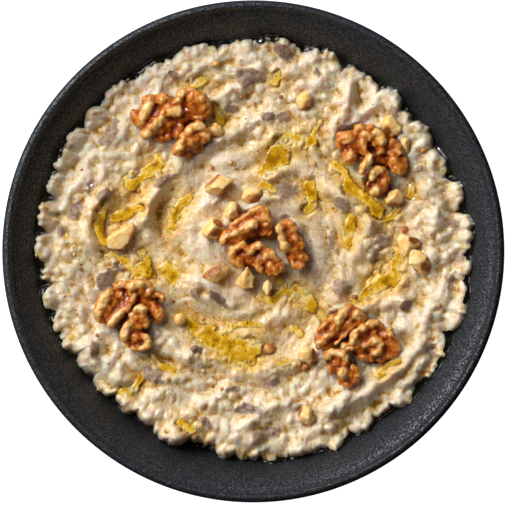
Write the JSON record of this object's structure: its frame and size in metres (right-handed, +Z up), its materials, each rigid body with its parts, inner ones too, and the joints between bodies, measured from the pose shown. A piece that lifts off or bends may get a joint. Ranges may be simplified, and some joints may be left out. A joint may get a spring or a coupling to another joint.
{
  "type": "baba ganoush",
  "caption": "Chunky aubergine dip swirled in a shallow black stoneware bowl, with walnut kernels, chopped nuts and pools of oil on top.",
  "frame": {"origin": "centre of the bowl's foot, on the surface that the bowl stands on", "axes": "+Z up along the bowl's axis; +Y towards the top of the bowl as seen from above, +X to its right"},
  "size_m": [0.2, 0.2, 0.044],
  "materials": {
    "stoneware": "matte black glaze with a fine pebbled texture",
    "dip": "moist, creamy and grainy",
    "walnut": "toasted and oily",
    "chopped_nut": "broken nut flesh with brown skin",
    "oil": "golden olive oil, in pools on the dip and along its edge",
    "aubergine": "soft grey-brown aubergine flesh, moist"
  },
  "bodies": {
    "root": {"bowl": "stoneware", "baba_ganoush": "dip", "walnut_1": "walnut", "walnut_2": "walnut", "walnut_3": "walnut", "walnut_4": "walnut", "walnut_5": "walnut", "walnut_6": "walnut", "walnut_7": "walnut", "walnut_8": "walnut", "walnut_9": "walnut", "walnut_10": "walnut", "walnut_11": "walnut", "walnut_12": "walnut", "chopped_nut_1": "chopped_nut", "chopped_nut_2": "chopped_nut", "chopped_nut_3": "chopped_nut", "chopped_nut_4": "chopped_nut", "chopped_nut_5": "chopped_nut", "chopped_nut_6": "chopped_nut", "chopped_nut_7": "chopped_nut", "chopped_nut_8": "chopped_nut", "chopped_nut_9": "chopped_nut", "chopped_nut_10": "chopped_nut", "chopped_nut_11": "chopped_nut", "chopped_nut_12": "chopped_nut", "chopped_nut_13": "chopped_nut", "chopped_nut_14": "chopped_nut", "chopped_nut_15": "chopped_nut", "chopped_nut_16": "chopped_nut", "chopped_nut_17": "chopped_nut", "chopped_nut_18": "chopped_nut"}
  },
  "joints": []
}
